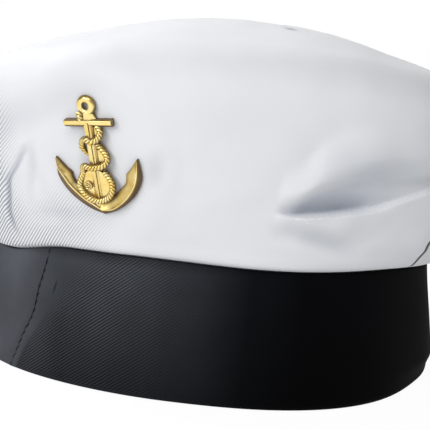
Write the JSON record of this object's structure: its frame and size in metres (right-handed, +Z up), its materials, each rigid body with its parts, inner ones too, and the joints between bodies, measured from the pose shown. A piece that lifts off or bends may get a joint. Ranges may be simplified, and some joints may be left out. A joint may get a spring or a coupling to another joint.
{
  "type": "sailor cap",
  "caption": "Soft white sailor cap: puffed twill crown on a flared black twill band, gold-coloured fouled anchor badge at the front, open head hollow.",
  "frame": {"origin": "on the surface that the band's lower edge stands on, under the middle of the cap", "axes": "+Z up, -Y out of the front where the badge sits, +X to the wearer's left"},
  "size_m": [0.2187, 0.2289, 0.1208],
  "materials": {
    "white_twill": "soft cotton twill",
    "black_twill": "soft cotton twill",
    "gold_metal": "gold-plated, bright cast",
    "clutch_metal": "plain plated"
  },
  "bodies": {
    "root": {"band": "black_twill", "crown_side_front": "white_twill", "crown_side_back": "white_twill", "crown_top": "white_twill", "badge": "gold_metal", "badge_clutch": "clutch_metal"}
  },
  "joints": []
}
